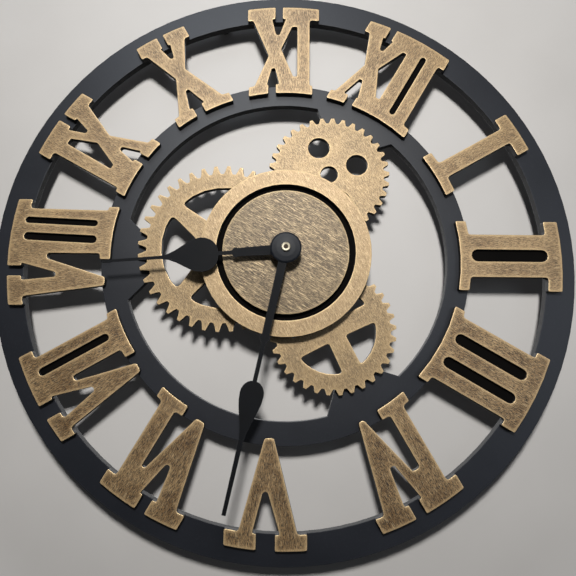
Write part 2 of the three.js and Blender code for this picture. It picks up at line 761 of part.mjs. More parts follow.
function addMovement() {
  add('movement_case', movementCase(), caseBlack());
  add('movement_cover', movementCover(), caseBlack());
  add('threaded_post', threadedPost(), brass());
  add('rubber_seal', washer(postRadius + slipFit, sealRadius, caseFront, gearFront), rubber());
  add('drive_block', driveBlock(), acetal());
  add('circuit_board', circuitBoard(), finish(0x2f5d3a, 0.5, 0));
  const contactLow = -caseInside + contactInset;
  const contactHigh = partitionY - contactInset;
  const contactBack = batteryDepth - batteryRadius / 2;
  const contactFront = batteryDepth + batteryRadius / 2;
  const plusBack = plusContactFace + contactThickness;
  const flatContact = rectangle(plusContactFace, plusBack, contactLow, contactHigh);
  add('contact_plus', plate(flatContact, contactBack, contactFront), steel());
  const springLeft = -caseInside + looseFit;
  const spring = bowedStrip(springLeft, springBow, contactLow, contactHigh, contactThickness);
  add('contact_minus', plate(spring, contactBack, contactFront), steel());
}

function addBattery() {
  const body = new THREE.CylinderGeometry(batteryRadius, batteryRadius, batteryLength, shaftSteps);
  const nubLength = batteryNubLength + joinOverlap;
  const nub = new THREE.CylinderGeometry(batteryNubRadius, batteryNubRadius, nubLength, shaftSteps);
  nub.translate(0, (batteryLength + batteryNubLength - joinOverlap) / 2, 0);
  const cell = join(body, nub).rotateZ(-Math.PI / 2).translate(0, 0, batteryDepth);
  add('battery', cell, finish(0x3a4a5e, 0.35, 0.4), 0, batteryCentre);
}

// The minute arbor is a tube with a pinion of ten leaves; its teeth stand in the gaps of the minute wheel.
function minuteArbor() {
  const bore = secondsArborRadius + slipFit;
  const halfPitch = halfTurn / arborPinionTeeth;
  const inside = (bore + arborRadius) / 2;
  const pinion = boredWheel(arborPinionTeeth, halfPitch, inside, pinionBack, pinionFront);
  return join(washer(bore, arborRadius, arborBack, arborFront), pinion);
}

function minuteWheel() {
  const bore = studRadius + turningFit;
  const inside = bore + turningFit;
  const wheel = boredWheel(minuteWheelTeeth, halfTurn, inside, minuteWheelBack, minuteWheelFront);
  const pinion = boredWheel(minutePinionTeeth, halfTurn, bore, minuteWheelBack, hourWheelFront);
  return join(pinion, wheel);
}

function hourWheel() {
  const bore = arborRadius + turningFit;
  const halfPitch = halfTurn / hourWheelTeeth;
  const inside = (bore + hourTubeRadius) / 2;
  const wheel = boredWheel(hourWheelTeeth, halfPitch, inside, hourWheelBack, hourWheelFront);
  return join(washer(bore, hourTubeRadius, hourWheelBack, hourHandFront), wheel);
}

function setKnob() {
  const front = caseBack - looseFit;
  const flutes = Array.from({ length: knobFlutes * 2 }, (_, step) =>
    clockPoint(knobRadius - (step % 2) * knobFluteDepth, step * halfTurn / knobFlutes));
  const wheel = plate(flutes, front - knobThickness, front);
  const shaft = disc(knobShaftRadius, front - knobThickness / 2, minuteWheelFront, shaftSteps);
  const pinion = plate(wheelOutline(arborPinionTeeth, quarterTurn), pinionBack, pinionFront);
  return join(wheel, shaft, pinion);
}

function addTrain() {
  add('minute_arbor', minuteArbor(), brass());
  add('minute_wheel', minuteWheel(), acetal(), 0, minuteWheelCentre);
  add('hour_wheel', hourWheel(), acetal());
  add('seconds_arbor', disc(secondsArborRadius, secondsArborBack, secondsArborFront, shaftSteps), steel());
  add('set_knob', setKnob(), acetal(), 0, knobCentre);
}

function handCap() {
  const bore = arborRadius + slipFit;
  const edge = capProfile.map(([out, up]) => [capRadius * out, minuteHandFront + capHeight * up]);
  return turned([[bore, minuteHandFront], ...edge, [openNutRadius, openNutBack], [bore, openNutBack]]);
}

function openNut() {
  const bore = arborRadius + slipFit;
  const top = openNutBack + openNutThickness;
  return turned([
    [bore, openNutBack], [openNutRadius, openNutBack], [openNutRadius, top - nutChamfer],
    [openNutRadius - nutChamfer, top], [bore, top],
  ]);
}

function addHands() {
  const hourHand = handPlate(hourHandForm, hourTubeRadius + slipFit, hourHandBack);
  const minuteHand = handPlate(minuteHandForm, arborRadius + slipFit, minuteHandBack);
  add('hour_hand', hourHand, handBlack(), hourHandAngle);
  add('minute_hand', minuteHand, handBlack(), minuteHandAngle);
  add('hand_cap', handCap(), handBlack());
  add('open_nut', openNut(), brass());
}

function addPads() {
  padAngles.forEach((angle, index) => {
    const centre = clockPoint(dialRadius - padInset - padRadius, angle);
    const pad = disc(padRadius, -ringThickness - wallGap, -ringThickness, shaftSteps);
    add(`wall_pad_${index + 1}`, pad, rubber(), 0, centre);
  });
}

addRings();
addGears();
addCentre();
addMovement();
addBattery();
addTrain();
addHands();
addPads();

export default dial;
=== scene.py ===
# %% [markdown]
# # The look of a gear clock on a wall
#
# This script dresses the imported model of a large skeleton wall clock: two flat black rings,
# twelve cut numerals, three show gears, a round centre and a pair of black hands. The shapes,
# sizes and joints are in the frame already. What is added here is paint, grain, worn edges with
# a painted highlight, painted shade, light and a camera, and none of it moves a piece of the
# frame.
#
# Lengths are in metres. The clock hangs on the wall plane y = 0 and looks along -Y, and the
# origin is the point that the hook holds.

# %% Load the frame
import math

import bpy
from mathutils import Matrix, Vector


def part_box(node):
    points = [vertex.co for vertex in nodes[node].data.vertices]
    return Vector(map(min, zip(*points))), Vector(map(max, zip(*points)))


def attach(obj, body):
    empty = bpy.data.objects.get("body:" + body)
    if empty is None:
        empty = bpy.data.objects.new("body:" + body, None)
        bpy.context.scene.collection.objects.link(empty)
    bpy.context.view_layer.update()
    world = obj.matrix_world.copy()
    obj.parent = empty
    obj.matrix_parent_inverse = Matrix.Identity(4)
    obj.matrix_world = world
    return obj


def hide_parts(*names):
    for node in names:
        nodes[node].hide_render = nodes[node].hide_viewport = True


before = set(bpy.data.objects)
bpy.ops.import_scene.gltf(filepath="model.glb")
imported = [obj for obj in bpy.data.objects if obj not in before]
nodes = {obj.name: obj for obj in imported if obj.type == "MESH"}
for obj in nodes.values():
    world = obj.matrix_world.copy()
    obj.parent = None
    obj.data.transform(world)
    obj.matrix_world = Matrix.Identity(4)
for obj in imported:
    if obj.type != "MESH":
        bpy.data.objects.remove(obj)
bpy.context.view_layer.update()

# %% [markdown]
# ## Writing shader arithmetic as arithmetic
#
# A material is a net of small nodes. Wiring them one by one hides the idea, so a thin wrapper
# lets a socket be added and multiplied like a number. Numbers that vary over a surface use
# Math nodes. Colours and vectors use Mix and Vector Math nodes, because a Math node would turn
# a colour grey. Every operator has its reflected form too, so that 1 - mask works.
#
# One method, `tap`, makes any other node: its type, then its settings, then its inputs.

# %% A socket that can be calculated with
COLOURED = ("RGBA", "VECTOR")


class Flow:
    def __init__(self, tree, socket):
        self.tree = tree
        self.socket = socket

    def tap(self, kind, settings=None, inputs=None, output=0):
        node = self.tree.nodes.new(kind)
        for name, value in (settings or {}).items():
            setattr(node, name, value)
        for name, value in (inputs or {}).items():
            self.plug(value, node.inputs[name])
        return Flow(self.tree, node.outputs[output])

    def plug(self, value, target):
        if isinstance(value, Flow):
            self.tree.links.new(value.socket, target)
        else:
            target.default_value = value

    def combine(self, operation, first, second):
        parts = (first, second)
        wide = any(isinstance(p, tuple) for p in parts)
        wide = wide or any(isinstance(p, Flow) and p.socket.type in COLOURED for p in parts)
        kind = "ShaderNodeVectorMath" if wide else "ShaderNodeMath"
        if wide:
            parts = [(p, p, p) if isinstance(p, (int, float)) else p for p in parts]
        return self.tap(kind, {"operation": operation}, {0: parts[0], 1: parts[1]})

    def __add__(self, other):
        return self.combine("ADD", self, other)

    def __radd__(self, other):
        return self.combine("ADD", other, self)

    def __sub__(self, other):
        return self.combine("SUBTRACT", self, other)

    def __rsub__(self, other):
        return self.combine("SUBTRACT", other, self)

    def __mul__(self, other):
        return self.combine("MULTIPLY", self, other)

    def __rmul__(self, other):
        return self.combine("MULTIPLY", other, self)

    def dot(self, other):
        settings = {"operation": "DOT_PRODUCT"}
        return self.tap("ShaderNodeVectorMath", settings, {0: self, 1: other}, "Value")

    def length(self):
        return self.tap("ShaderNodeVectorMath", {"operation": "LENGTH"}, {0: self}, "Value")

    def part(self, axis):
        return self.tap("ShaderNodeSeparateXYZ", None, {"Vector": self}, axis)

    def between(self, low, high, start=0.0, end=1.0):
        """Stretches the range from low to high over start to end, and holds it there."""
        inputs = {"Value": self, "From Min": low, "From Max": high}
        inputs.update({"To Min": start, "To Max": end})
        return self.tap("ShaderNodeMapRange", {"clamp": True}, inputs)

    def blend(self, near, far):
        """Goes from the colour near to the colour far as this number goes from 0 to 1."""
        inputs = {"Factor": self, "A": near, "B": far}
        return self.tap("ShaderNodeMix", {"data_type": "RGBA"}, inputs, "Result")


print("a socket can be tapped, plugged, added, subtracted, multiplied, stretched and blended")

# %% [markdown]
# ## Tools that every finish uses
#
# A finish starts from the place on the piece, not from the place in the room, so the grain
# stays with the piece when a hand turns. Colours could be written as the linear light that
# the shader wants, but a painter thinks in colours as they look, so one function converts.

# %% Colours, and a material to start from
def rgb(red, green, blue):
    """A colour given as it looks on a screen, from 0 to 255, turned into linear light."""
    linear = []
    for value in (red, green, blue):
        share = value / 255
        linear.append(share / 12.92 if share <= 0.04045 else ((share + 0.055) / 1.055) ** 2.4)
    return (*linear, 1.0)


def empty_material(name):
    """A new material without nodes but its output."""
    material = bpy.data.materials.new(name)
    material.use_nodes = True
    tree = material.node_tree
    tree.nodes.clear()
    return material, tree, tree.nodes.new("ShaderNodeOutputMaterial").inputs["Surface"]


def start(name):
    """A new material with a principled shader, and the place on the piece as a socket."""
    material, tree, surface = empty_material(name)
    shader = tree.nodes.new("ShaderNodeBsdfPrincipled")
    tree.links.new(shader.outputs[0], surface)
    place = Flow(tree, None).tap("ShaderNodeTexCoord", output="Object")
    return material, shader, place


def set_inputs(place, shader, **values):
    """Feeds the principled shader; the names use _ for a blank."""
    for name, value in values.items():
        place.plug(value, shader.inputs[name.replace("_", " ")])


print("a middle grey of 128 is", round(rgb(128, 128, 128)[0], 3), "in linear light")

# %% [markdown]
# Noise drawn evenly gives blotches, and noise drawn on stretched coordinates gives brush
# strokes. The strokes always run along X, so the coordinates are turned about the hand axis
# first to point them anywhere else. An image of a brushed surface could do this too, but it
# would show its seams, and noise has none.

# %% Blotches and strokes
AXIS_HEIGHT = -0.036
AXIS_CENTRE = (0.0, 0.0, AXIS_HEIGHT)


def blotches(place, size, detail=3.0, seed=0.0):
    """Even noise whose blotches are about `size` metres across."""
    inputs = {"Vector": place + (seed, seed, seed), "Scale": 1 / size, "Detail": detail}
    return place.tap("ShaderNodeTexNoise", None, inputs)


def turned_about_axis(place, degrees):
    """The same places, seen after the dial is turned clockwise about the hand axis."""
    settings = {"rotation_type": "Y_AXIS"}
    inputs = {"Vector": place, "Center": AXIS_CENTRE, "Angle": math.radians(degrees)}
    return place.tap("ShaderNodeVectorRotate", settings, inputs)


def strokes(place, length, width, seed=0.0):
    """Noise drawn out along X, the way a wide brush is pulled."""
    stretched = place * (1 / length, 1 / width, 1 / width) + (seed, seed, seed)
    inputs = {"Vector": stretched, "Scale": 1.0, "Detail": 3.0, "Roughness": 0.6}
    return place.tap("ShaderNodeTexNoise", None, inputs)


print("the hands turn", -AXIS_HEIGHT, "m below the hook")

# %% [markdown]
# Paint wears first where a hand or a cloth touches it: on edges and on the front. The paler
# edges of the boards and the hands below are that wear and a painted highlight together. A Bevel
# node finds the edges, because there its rounded normal leans away from the flat one. The same
# node, used as the normal, makes a cut edge catch light like one that was broken with fine
# paper. Real bevels on every tooth would cost many faces and show no more.

# %% Edges, fronts and bumps
BEVEL_SAMPLES = {"samples": 6}
EDGE_LEAN = 0.25
TOWARDS_ROOM = (0.0, -1.0, 0.0)


def flat_normal(place):
    return place.tap("ShaderNodeNewGeometry", output="True Normal")


def rounded(place, radius):
    """The normal of a cut edge that has been broken with fine paper."""
    return place.tap("ShaderNodeBevel", BEVEL_SAMPLES, {"Radius": radius})


def edge_nearness(place, radius):
    """1 on an edge and 0 away from it: how far a rounded normal would lean from the flat one."""
    return (1.0 - rounded(place, radius).dot(flat_normal(place))).between(0.0, EDGE_LEAN)


def facing_front(place):
    """1 where the surface looks out from the wall, 0 on the sides and the back."""
    return flat_normal(place).dot(TOWARDS_ROOM).between(0.6, 0.9)


def bumped(place, height, distance, strength=1.0, normal=None):
    """A normal that leans with the slope of `height`, whose full range is `distance` metres."""
    inputs = {"Height": height, "Distance": distance, "Strength": strength}
    if normal is not None:
        inputs["Normal"] = normal
    return place.tap("ShaderNodeBump", None, inputs)


full_lean = math.degrees(math.acos(1 - EDGE_LEAN))
print("an edge counts in full where the two normals are", round(full_lean), "degrees apart")

# %% [markdown]
# ## Dressing a piece
#
# The frame's pieces keep their meshes. Only the material in their slot changes, and a set
# remembers which pieces have been dressed, so that none can be forgotten.

# %% Put a material on pieces
dressed = set()


def dress(material, *pieces):
    for piece in pieces:
        nodes[piece].data.materials.clear()
        nodes[piece].data.materials.append(material)
    dressed.update(pieces)
    print(material.name, "with", len(material.node_tree.nodes), "nodes on", ", ".join(pieces))


print(len(nodes), "pieces to dress")

# %% [markdown]
# ## The black board of the rings
#
# The rings are board with a matt charcoal paint. Such paint isn't dead black: it is a little
# blue, clouded and dusty. Its edges are paler, which is worn paint and a painted highlight
# together. Its front is smoother than its sawn sides, so that the light slides over it from pale
# at the top to black at the foot. The sawn sides are painted nearly black all round, as painted
# shade. The inner ring is glued from two arcs, and the joints show as fine dark lines.

# %% Charcoal board
CHARCOAL = rgb(20, 23, 30)
CLOUDED_CHARCOAL = rgb(25, 28, 36)
SIDE_SHADE_BLACK = rgb(14, 14, 16)
DUST = rgb(70, 72, 78)
WORN_AND_HIGHLIGHT_CHARCOAL = rgb(84, 88, 96)
SEAM_BLACK = rgb(12, 12, 14)
SEAM_HALF = 0.0005
SEAM_START = 0.01
INNER_SEAMS = (238.0, 317.0)


def seam_nearness(place, direction):
    """1 on the joint of two ring pieces, a line that runs outwards at a clock direction."""
    upright = turned_about_axis(place, -direction)
    aside = upright.part("X")
    line = (aside * aside).between(0.0, SEAM_HALF ** 2, 1.0, 0.0)
    return line * upright.part("Z").between(0.0, SEAM_START)


def charcoal_board(name, seams=()):
    material, shader, place = start(name)
    cloud = blotches(place, size=0.05)
    dust = blotches(place, size=0.0009, detail=2.0, seed=3.0)
    edge = edge_nearness(place, radius=0.0009)
    front = facing_front(place)
    paint = cloud.between(0.3, 0.7).blend(CHARCOAL, CLOUDED_CHARCOAL)
    # Painted shade: the sides are nearly black, darker than the paint on the front.
    body = front.blend(SIDE_SHADE_BLACK, paint)
    dusted = (dust.between(0.6, 0.8) * 0.15).blend(body, DUST)
    # Paler edges: worn paint and a painted highlight.
    colour = (edge * 0.25).blend(dusted, WORN_AND_HIGHLIGHT_CHARCOAL)
    for direction in seams:
        colour = (seam_nearness(place, direction) * 0.8).blend(colour, SEAM_BLACK)
    soft_edge = rounded(place, radius=0.0006)
    set_inputs(
        place,
        shader,
        Base_Color=colour,
        Roughness=0.9 - front * cloud.between(0.2, 0.8, 0.48, 0.38),
        Specular_IOR_Level=0.34,
        Normal=bumped(place, dust, distance=0.00004, strength=0.6, normal=soft_edge),
    )
    return material


dress(charcoal_board("charcoal_board"), "outer_ring")
dress(charcoal_board("charcoal_seamed", INNER_SEAMS), "inner_ring")

# %% [markdown]
# ## The gold paint
#
# The numerals, gears, trim ring and centre disc are cut from board, painted black on their sides
# and rubbed with a warm gold on the front. A rubbing pad presses hardest on the edges, so there
# is clear pale gold near them, and towards the middle a browner gold with dark strokes and a few
# bright scratches. Along every front edge runs a fine bright rim, which is rubbed edge and
# painted highlight together. One noise would look like sand, so the grain is made of four: broad
# strokes, hairs, scratches and specks, and slow patches make it uneven. A share of metal in the
# paint lets the gold shine without mirroring.

# %% Rubbed gold
RIM_HIGHLIGHT_AND_SCRATCH_GOLD = rgb(240, 212, 164)
DARK_GOLD = rgb(46, 38, 31)
BOARD_SIDE = rgb(14, 12, 12)
CLEAR_REACH = 0.005
RIM_REACH = 0.0012


def rubbed_gold(name, pale, warm, stroke_darkening, direction=90.0, length=0.0038, dark=DARK_GOLD):
    """Gold from pale at the edges to warm in the middle; strokes run at a clock direction."""
    material, shader, place = start(name)
    along = turned_about_axis(place, 90.0 - direction)
    broad = strokes(along, length, width=0.00055)
    hair = strokes(along, length / 2, width=0.00025, seed=5.0)
    scratch = strokes(along, length * 1.5, width=0.0003, seed=19.0)
    speck = blotches(place, size=0.0007, seed=7.0)
    patch = blotches(place, size=0.016, detail=2.0, seed=11.0)
    mottle = (broad * 0.25 + speck * 0.2 + hair * 0.55).between(0.455, 0.55)
    middle = 1.0 - edge_nearness(place, CLEAR_REACH) * 0.95
    shade = mottle * patch.between(0.3, 0.7, 0.75, 1.0) * middle
    body = (middle * patch.between(0.35, 0.65, 0.6, 1.0)).blend(pale, warm)
    rubbed = (shade * stroke_darkening).blend(body, dark)
    scratched = (scratch.between(0.55, 0.64) * 0.5).blend(rubbed, RIM_HIGHLIGHT_AND_SCRATCH_GOLD)
    # A bright rim along every front edge: rubbed edge and painted highlight together.
    rim = edge_nearness(place, RIM_REACH).between(0.1, 0.5)
    bright = rim.blend(scratched, RIM_HIGHLIGHT_AND_SCRATCH_GOLD)
    front = facing_front(place)
    soft_edge = rounded(place, radius=0.0008)
    set_inputs(
        place,
        shader,
        Base_Color=front.blend(BOARD_SIDE, bright),
        Metallic=front * (rim * 0.3 + 0.25),
        Roughness=0.9 - front * (mottle.between(0.0, 1.0, 0.46, 0.3) + rim * 0.08),
        Normal=bumped(place, hair, distance=0.00012, strength=0.6, normal=soft_edge),
    )
    return material


print("the clear gold is", CLEAR_REACH, "m wide, the bright rim", RIM_REACH, "m")

# %% [markdown]
# The gears and the trim ring are the least worn and the most even. The centre disc is the
# darkest gold of the clock, with strokes straight across.

# %% Gold on the gears, the trim ring and the centre disc
GEAR_STROKES = 120.0

gear_gold = rubbed_gold(
    "gear_gold",
    pale=rgb(190, 161, 116),
    warm=rgb(160, 135, 97),
    stroke_darkening=0.7,
    direction=GEAR_STROKES,
    length=0.003,
)
trim_gold = rubbed_gold(
    "trim_gold",
    pale=rgb(176, 149, 108),
    warm=rgb(166, 140, 102),
    stroke_darkening=0.5,
    direction=GEAR_STROKES,
    length=0.0025,
)
disc_gold = rubbed_gold(
    "disc_gold",
    pale=rgb(142, 122, 88),
    warm=rgb(108, 90, 62),
    stroke_darkening=0.95,
    length=0.0035,
    dark=rgb(33, 25, 15),
)
dress(gear_gold, "left_gear", "top_gear", "right_gear")
dress(trim_gold, "trim_ring")
dress(disc_gold, "centre_disc")

# %% [markdown]
# On a numeral the strokes run from its foot to its head. One material could work the direction
# out from the place on the dial, but then strokes would bend within a numeral, so every hour has
# a direction and a material of its own. The lower hours, from three to seven, get a browner gold
# and stronger dark strokes, so the numerals are darker towards the foot of the dial.

# %% Gold on the numerals
HOUR_TURN = 30.0
HOURS = range(1, 13)
BROWN_HOURS = range(3, 8)
PALE_GOLD = rgb(208, 177, 130)
WARM_GOLD = rgb(156, 128, 91)
BROWN_GOLD = rgb(138, 107, 68)

for hour in HOURS:
    # Hours three to seven get a browner gold and stronger dark strokes, so the numerals darken
    # towards the foot of the dial.
    warm, stroke_darkening = (BROWN_GOLD, 1.2) if hour in BROWN_HOURS else (WARM_GOLD, 0.9)
    gold = rubbed_gold(f"numeral_gold_{hour}", PALE_GOLD, warm, stroke_darkening, hour * HOUR_TURN)
    dress(gold, f"numeral_{hour}")

# %% [markdown]
# ## Hands, cap and groove
#
# The hands are thin steel with a satin black coat, and the cap over the minute hand's eye is a
# little glossier. The groove between the trim ring and the centre disc is the black backing disc
# seen through the gap. It is painted darker than the board of the rings and has almost no gloss,
# as painted shade, because light that finds its way into a real groove hardly comes out. One
# function with different numbers makes all three.

# %% Satin black
RUBBED_AND_HIGHLIGHT_GREY = rgb(120, 124, 132)
ROUGHNESS_SPREAD = 0.1


def satin_black(name, base, cloudy, roughness, edge_shine, specular):
    material, shader, place = start(name)
    cloud = blotches(place, size=0.012)
    fine = blotches(place, size=0.0006, detail=2.0, seed=5.0)
    # The paler edges are worn paint and a painted highlight.
    edge = edge_nearness(place, radius=0.0006)
    body = cloud.between(0.3, 0.7).blend(base, cloudy)
    set_inputs(
        place,
        shader,
        Base_Color=(edge * edge_shine).blend(body, RUBBED_AND_HIGHLIGHT_GREY),
        Roughness=cloud.between(0.2, 0.8, roughness, roughness + ROUGHNESS_SPREAD),
        Specular_IOR_Level=specular,
        Normal=bumped(place, fine, distance=0.00003, strength=0.5),
    )
    return material


# Painted shade: near black, darker than the rings' board, so the groove and the slots read deep.
recess_shade_black = satin_black(
    "recess_shade_black",
    base=rgb(8, 7, 6),
    cloudy=rgb(13, 11, 10),
    roughness=0.8,
    edge_shine=0.05,
    specular=0.05,
)
hand_black = satin_black(
    "hand_black",
    base=rgb(9, 10, 13),
    cloudy=rgb(13, 15, 19),
    roughness=0.6,
    edge_shine=0.1,
    specular=0.12,
)
cap_black = satin_black(
    "cap_black",
    base=rgb(14, 17, 23),
    cloudy=rgb(20, 24, 31),
    roughness=0.42,
    edge_shine=0.1,
    specular=0.16,
)
dress(recess_shade_black, "backing_disc")
dress(hand_black, "hour_hand", "minute_hand")
dress(cap_black, "hand_cap")

# %% [markdown]
# ## Nuts, arbors and contacts
#
# The nuts, the post and the arbors are turned metal: fine rings of tool marks about the hand
# axis, and a dull tarnish in patches that wears off at the edges. The rings come from noise that
# only knows the distance from the axis. The open nut in front is paler than the hidden brass,
# and the arbor ends inside it are a near-black metal, which makes the centre of the nut dark.

# %% Turned metal
ACROSS_AXIS = (1.0, 0.0, 1.0)
ALL_THREE = (1.0, 1.0, 1.0)
TARNISH_DULLING = 0.12


def turned_metal(name, colour, dull, roughness):
    material, shader, place = start(name)
    radius = ((place - AXIS_CENTRE) * ACROSS_AXIS).length()
    rings = blotches(radius * ALL_THREE, size=0.00025, detail=1.0, seed=2.0)
    tarnish = blotches(place, size=0.004, seed=9.0)
    edge = edge_nearness(place, radius=0.0004)
    body = tarnish.between(0.35, 0.7).blend(colour, dull)
    set_inputs(
        place,
        shader,
        Base_Color=(edge * 0.5).blend(body, colour),
        Metallic=1.0,
        Roughness=tarnish.between(0.3, 0.7, roughness, roughness + TARNISH_DULLING),
        Normal=bumped(place, rings, distance=0.00003, strength=0.4),
    )
    return material


METALS = [
    # name, bright, tarnished, roughness, pieces
    (
        "brass", rgb(168, 152, 118), rgb(126, 110, 82), 0.5,
        ["post_washer", "post_nut", "threaded_post"],
    ),
    ("pale_brass", rgb(176, 170, 152), rgb(134, 126, 108), 0.55, ["open_nut"]),
    ("steel", rgb(206, 206, 204), rgb(150, 150, 150), 0.28, ["contact_plus", "contact_minus"]),
    ("near_black_metal", rgb(46, 40, 34), rgb(30, 27, 25), 0.45, ["minute_arbor", "seconds_arbor"]),
]
for name, bright, tarnished, roughness, pieces in METALS:
    dress(turned_metal(name, bright, tarnished, roughness), *pieces)

# %% [markdown]
# ## The movement behind the dial
#
# Case, cover and setting knob are black moulded plastic with a soft spark-eroded grain. The
# wheels are off-white plastic, the pads and the seal rubber, and the circuit board green.
# They differ in colour, gloss and depth of grain, so one function makes them all.

# %% Moulded plastic and rubber
PALE_EDGE = rgb(150, 150, 152)


def moulded(name, base, light, roughness, grain):
    """Plastic or rubber whose moulded grain is `grain` metres deep."""
    material, shader, place = start(name)
    spark = blotches(place, size=0.0008, detail=2.0, seed=1.0)
    cloud = blotches(place, size=0.03, seed=4.0)
    edge = edge_nearness(place, radius=0.0008)
    body = cloud.between(0.3, 0.7).blend(base, light)
    set_inputs(
        place,
        shader,
        Base_Color=(edge * 0.2).blend(body, PALE_EDGE),
        Roughness=cloud.between(0.2, 0.8, roughness, roughness + ROUGHNESS_SPREAD),
        Normal=bumped(place, spark, distance=grain, strength=0.6),
    )
    return material


WALL_PADS = [f"wall_pad_{pad}" for pad in range(1, 5)]
MOULDINGS = [
    # name, base, lighter clouds, roughness, grain, pieces
    (
        "case_plastic", rgb(30, 30, 32), rgb(38, 38, 40), 0.42, 0.00006,
        ["movement_case", "movement_cover", "set_knob"],
    ),
    ("rubber", rgb(28, 28, 28), rgb(36, 36, 36), 0.7, 0.0001, ["rubber_seal"] + WALL_PADS),
    (
        "acetal", rgb(214, 212, 204), rgb(226, 224, 218), 0.35, 0.00002,
        ["drive_block", "minute_wheel", "hour_wheel"],
    ),
    ("board_green", rgb(30, 84, 52), rgb(36, 98, 60), 0.4, 0.00003, ["circuit_board"]),
]
for name, base, light, roughness, grain, pieces in MOULDINGS:
    dress(moulded(name, base, light, roughness, grain), *pieces)

# %% [markdown]
# The cell has a plain printed sleeve, black with a copper coloured band at its plus end, under
# a film that is scuffed from being put in and taken out. The band could be a piece of its own,
# but it has no thickness, so a step in the colour along the cell does it.

# %% The cell's sleeve
SLEEVE_BLACK = rgb(38, 40, 44)
COPPER_BAND = rgb(176, 112, 70)
SCUFF = rgb(150, 148, 144)
BAND_LENGTH = 0.0155
BAND_BLUR = 0.0005


def cell_sleeve(name):
    material, shader, place = start(name)
    plus_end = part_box("battery")[1].x
    band = place.part("X").between(plus_end - BAND_LENGTH, plus_end - BAND_LENGTH + BAND_BLUR)
    scuff = blotches(place, size=0.002, detail=4.0, seed=6.0)
    sleeve = band.blend(SLEEVE_BLACK, COPPER_BAND)
    set_inputs(
        place,
        shader,
        Base_Color=scuff.between(0.3, 0.75, 0.0, 0.3).blend(sleeve, SCUFF),
        Metallic=band * 0.6 + 0.2,
        Roughness=scuff.between(0.2, 0.8, 0.3, 0.45),
    )
    return material


dress(cell_sleeve("cell"), "battery")
print("pieces without a finish:", sorted(set(nodes) - dressed))

# %% [markdown]
# ## The needles of the hands
#
# Past its spade each hand is a narrow bar that hardly tapers and ends square. The solids run to
# finer points. Moving points of the frame's mesh isn't allowed, and a new outline would lose
# the round eye, so a copy of each hand takes its place with only the tip widened.

# %% Copies of the hands with wider tips
def widened_hand(hand, body, direction, tip_start, tip_half):
    """A copy of a hand whose points past tip_start stand tip_half to each side."""
    turned = math.radians(direction)
    ahead = Vector((math.sin(turned), 0, math.cos(turned)))
    aside = Vector((math.cos(turned), 0, -math.sin(turned)))
    mesh = nodes[hand].data.copy()
    moved = 0
    for vertex in mesh.vertices:
        arm = vertex.co - Vector(AXIS_CENTRE)
        if arm.dot(ahead) > tip_start:
            offset = arm.dot(aside)
            vertex.co += aside * (math.copysign(tip_half, offset) - offset)
            moved += 1
    piece = bpy.data.objects.new(f"{hand}_blade", mesh)
    bpy.context.scene.collection.objects.link(piece)
    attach(piece, body)
    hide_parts(hand)
    print(hand, "tip points moved", moved, "of", len(mesh.vertices))


widened_hand("hour_hand", "hour_train", direction=235.4, tip_start=0.118, tip_half=0.0008)
widened_hand("minute_hand", "minute_train", direction=162.2, tip_start=0.16, tip_half=0.00125)

# %% [markdown]
# ## Floors of painted shade in the slots
#
# Between the strokes of II, III, VII, VIII and XII there are round-ended slots. They show deep
# black all along, also where the wall behind is bright. A boolean could sink them, but the
# frame's meshes stay as they are. So each slot gets a thin near-black plate inside the board,
# with the outline of the slot itself, as painted shade that keeps the slot dark.
#
# That outline is already in the numeral's mesh. An edge that only one front face uses is on
# an outline, so the edges whose way back no other face takes are chained end to end.

# %% Find the outlines of a numeral's front
SAME_LEVEL = 1e-6
SLOT_SHARE = 0.22


def front_outlines(mesh):
    """The closed outlines of a plate's front face, each a list of points in order."""
    front = min(vertex.co.y for vertex in mesh.vertices)
    steps = {}  # a dict, because it keeps its order and a set doesn't
    for polygon in mesh.polygons:
        corners = [mesh.vertices[index].co for index in polygon.vertices]
        if max(corner.y for corner in corners) - front < SAME_LEVEL:
            points = [(round(corner.x, 6), round(corner.z, 6)) for corner in corners]
            steps.update(dict.fromkeys(zip(points, points[1:] + points[:1])))
    edge = {first: second for first, second in steps if (second, first) not in steps}
    outlines = []
    while edge:
        outline = [next(iter(edge))]
        while outline[-1] in edge:
            outline.append(edge.pop(outline[-1]))
        outlines.append(outline[:-1])
    return outlines


def reach(outline, i, j):
    """How far an outline goes along the direction (i, j)."""
    along = [x * i + z * j for x, z in outline]
    return max(along) - min(along)


def is_slot(outline, hour):
    """A slot is much narrower than it is tall once its hour is turned to the top."""
    turned = math.radians(hour * HOUR_TURN)
    width = reach(outline, math.cos(turned), -math.sin(turned))
    height = reach(outline, math.sin(turned), math.cos(turned))
    return width < height * SLOT_SHARE


slots = {}
for hour in HOURS:
    outlines = front_outlines(nodes[f"numeral_{hour}"].data)
    slots[hour] = [outline for outline in outlines if is_slot(outline, hour)]
print("slots per numeral:", {hour: len(found) for hour, found in slots.items() if found})

# %% [markdown]
# A floor is a closed plate of two faces and a rim. It reaches a hair into the board all round,
# so that no light leaks past its edge, and lies a little behind the middle of the board.

# %% Put a floor in each slot
FLOOR_DEPTH = 0.55
FLOOR_THICKNESS = 0.0006
FLOOR_LAP = 0.0001


